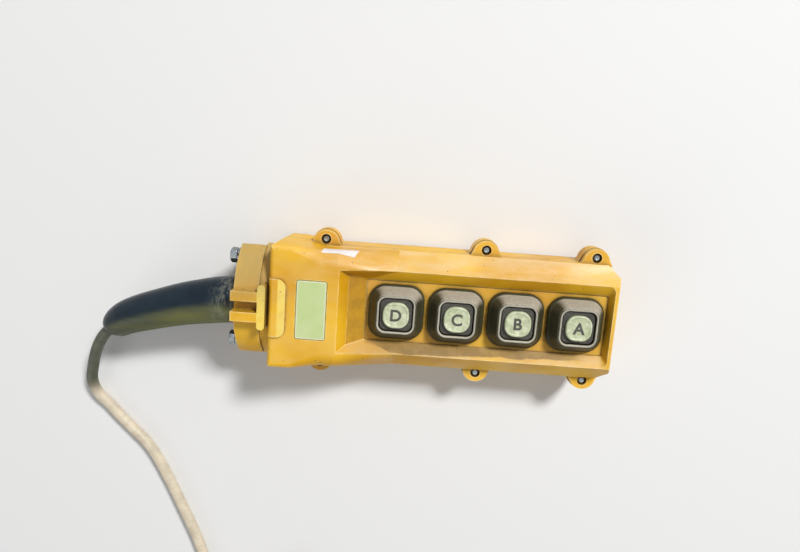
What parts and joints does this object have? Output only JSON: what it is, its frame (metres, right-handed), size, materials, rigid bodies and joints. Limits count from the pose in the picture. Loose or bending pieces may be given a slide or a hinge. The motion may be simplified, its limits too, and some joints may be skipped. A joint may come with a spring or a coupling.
{
  "type": "pendant push-button control station",
  "caption": "Hand-held pendant control station: hollow two-part housing, rubber-booted push buttons, cable collar with sleeve, coiled cable and round connector.",
  "frame": {"origin": "below the middle of the station without its cable, on the plane that its back lies on", "axes": "+X along the housing away from the cable, +Z from the back to the button side"},
  "size_m": [0.3348, 0.3624, 0.06],
  "materials": {
    "housing": "satin, dusty",
    "boot_rubber": "dusty rubber",
    "plunger": "matte",
    "legend": "satin",
    "zinc": "zinc plated",
    "label": "satin",
    "sleeve_rubber": "glossy",
    "cable_sheath": "matte",
    "tie": "satin",
    "connector": "satin",
    "contacts": "polished"
  },
  "bodies": {
    "housing": {"rear_housing": "housing", "gasket": "boot_rubber", "front_cover": "housing", "label_plate": "label", "boot_a": "boot_rubber", "boot_b": "boot_rubber", "boot_c": "boot_rubber", "boot_d": "boot_rubber", "cover_screw_1": "zinc", "cover_screw_2": "zinc", "cover_screw_3": "zinc", "cover_screw_4": "zinc", "cover_screw_5": "zinc", "cover_screw_6": "zinc", "collar": "housing", "collar_bolt_1": "zinc", "collar_bolt_2": "zinc", "cable_sleeve": "sleeve_rubber", "cable": "cable_sheath", "cable_coil": "cable_sheath", "cable_tail": "cable_sheath", "coil_tie": "tie", "plug_body": "connector", "plug_ring": "connector", "plug_insert": "contacts"},
    "push_a": {"button_a": "plunger", "disc_a": "legend"},
    "push_b": {"button_b": "plunger", "disc_b": "legend"},
    "push_c": {"button_c": "plunger", "disc_c": "legend"},
    "push_d": {"button_d": "plunger", "disc_d": "legend"}
  },
  "joints": [
    {"name": "press_a", "type": "slide", "parent": "housing", "child": "push_a", "axis": [0, 0, -1], "range_m": [0, 0.004], "stiffness_N_per_m": 1200, "springref_m": -0.002},
    {"name": "press_b", "type": "slide", "parent": "housing", "child": "push_b", "axis": [0, 0, -1], "range_m": [0, 0.004], "stiffness_N_per_m": 1200, "springref_m": -0.002},
    {"name": "press_c", "type": "slide", "parent": "housing", "child": "push_c", "axis": [0, 0, -1], "range_m": [0, 0.004], "stiffness_N_per_m": 1200, "springref_m": -0.002},
    {"name": "press_d", "type": "slide", "parent": "housing", "child": "push_d", "axis": [0, 0, -1], "range_m": [0, 0.004], "stiffness_N_per_m": 1200, "springref_m": -0.002}
  ]
}
